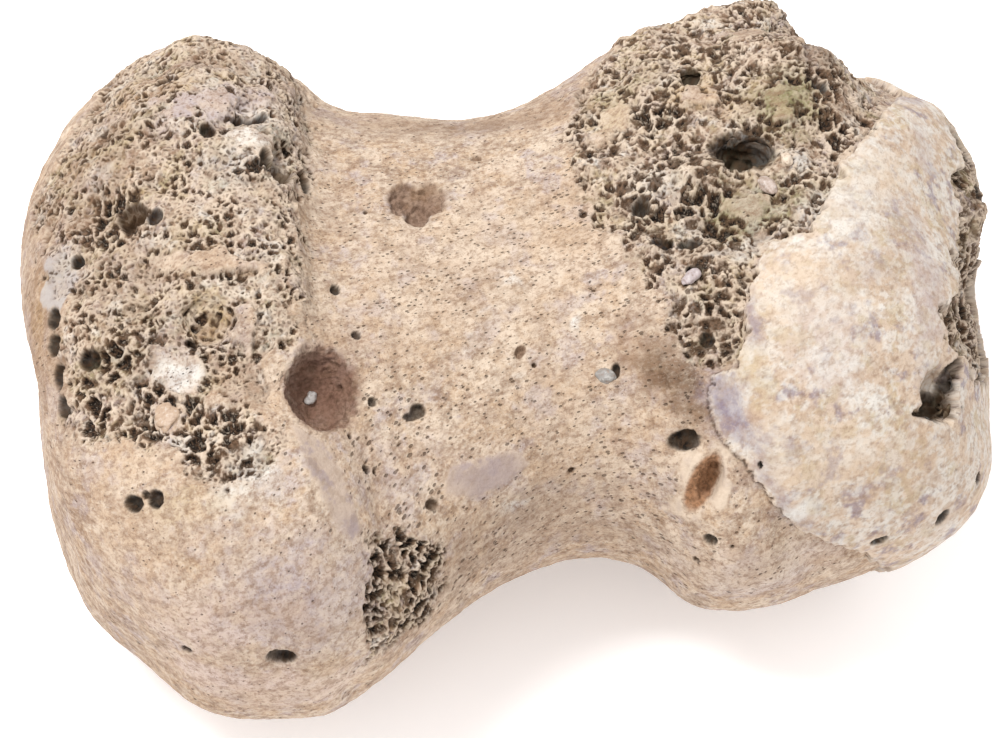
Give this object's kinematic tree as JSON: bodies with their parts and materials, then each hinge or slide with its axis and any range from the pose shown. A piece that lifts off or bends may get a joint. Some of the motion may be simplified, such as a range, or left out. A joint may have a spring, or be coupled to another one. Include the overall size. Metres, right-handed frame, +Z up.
{
  "type": "mastodon toe bone",
  "caption": "Short, stout fossil toe bone, waisted in the middle, with a broad joint end and a rounded roller at the other, for display or study.",
  "frame": {"origin": "on the floor, under the middle of the bone's box", "axes": "+X along the bone to the roller of the far end, +Y to the flank with the broken roller edge, +Z up, out of the palm side"},
  "size_m": [0.1122, 0.0848, 0.0539],
  "materials": {
    "fossil_bone": "matt, weathered and finely porous, with smoother cream sheets"
  },
  "bodies": {
    "root": {"toe_bone": "fossil_bone"}
  },
  "joints": []
}
